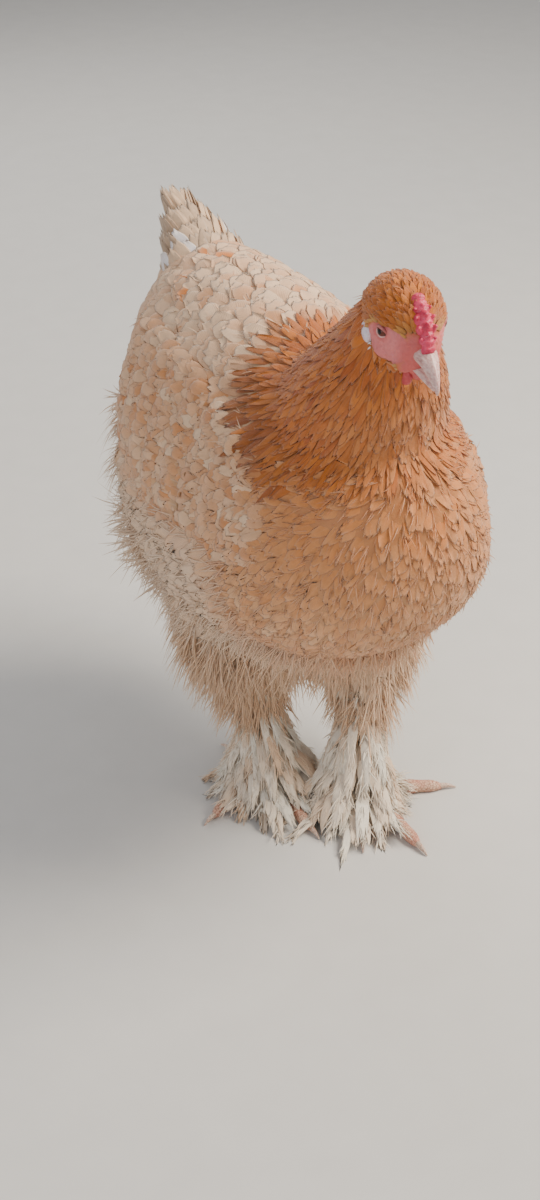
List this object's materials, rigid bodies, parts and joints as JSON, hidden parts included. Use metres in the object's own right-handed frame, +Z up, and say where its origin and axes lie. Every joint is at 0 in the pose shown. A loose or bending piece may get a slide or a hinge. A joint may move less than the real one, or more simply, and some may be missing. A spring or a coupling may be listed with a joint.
{
  "type": "brahma chicken",
  "caption": "Life-size still model of a buff Brahma hen standing with its head up, feather-footed, with a pea comb, folded wings and a short raised tail.",
  "frame": {"origin": "the middle of the hen's box at floor level, between the feet", "axes": "+Z up, the hen faces -Y, its left side is +X"},
  "size_m": [0.231, 0.4322, 0.4784],
  "materials": {
    "plumage_buff": "soft buff and cream body feathers",
    "hackle_gold": "silky golden-orange neck feathers",
    "fluff_cream": "very soft pale cream fluff",
    "tail_feather": "stiffer brown-cream tail feathers",
    "foot_feather": "long pale cream shank and toe feathers",
    "face_skin": "bare pink skin with fine folds",
    "comb_red": "pink-red fleshy comb and wattles",
    "ear_lobe": "pale ear lobe",
    "beak_horn": "pale pinkish horn",
    "claw_horn": "pale claw horn",
    "toe_skin": "scaled pinkish-yellow toe skin",
    "eye_gloss": "wet dark red-brown eye"
  },
  "bodies": {
    "root": {"torso": "plumage_buff", "neck": "hackle_gold", "head": "face_skin", "comb": "comb_red", "beak_upper": "beak_horn", "beak_lower": "beak_horn", "eye_left": "eye_gloss", "eye_right": "eye_gloss", "ear_left": "ear_lobe", "ear_right": "ear_lobe", "wattle_left": "comb_red", "wattle_right": "comb_red", "wing_left": "plumage_buff", "wing_right": "plumage_buff", "tail": "tail_feather", "thigh_left": "fluff_cream", "thigh_right": "fluff_cream", "shank_left": "foot_feather", "shank_right": "foot_feather", "toe_inner_left": "toe_skin", "toe_middle_left": "toe_skin", "toe_outer_left": "toe_skin", "toe_hind_left": "toe_skin", "toe_inner_right": "toe_skin", "toe_middle_right": "toe_skin", "toe_outer_right": "toe_skin", "toe_hind_right": "toe_skin"}
  },
  "joints": []
}
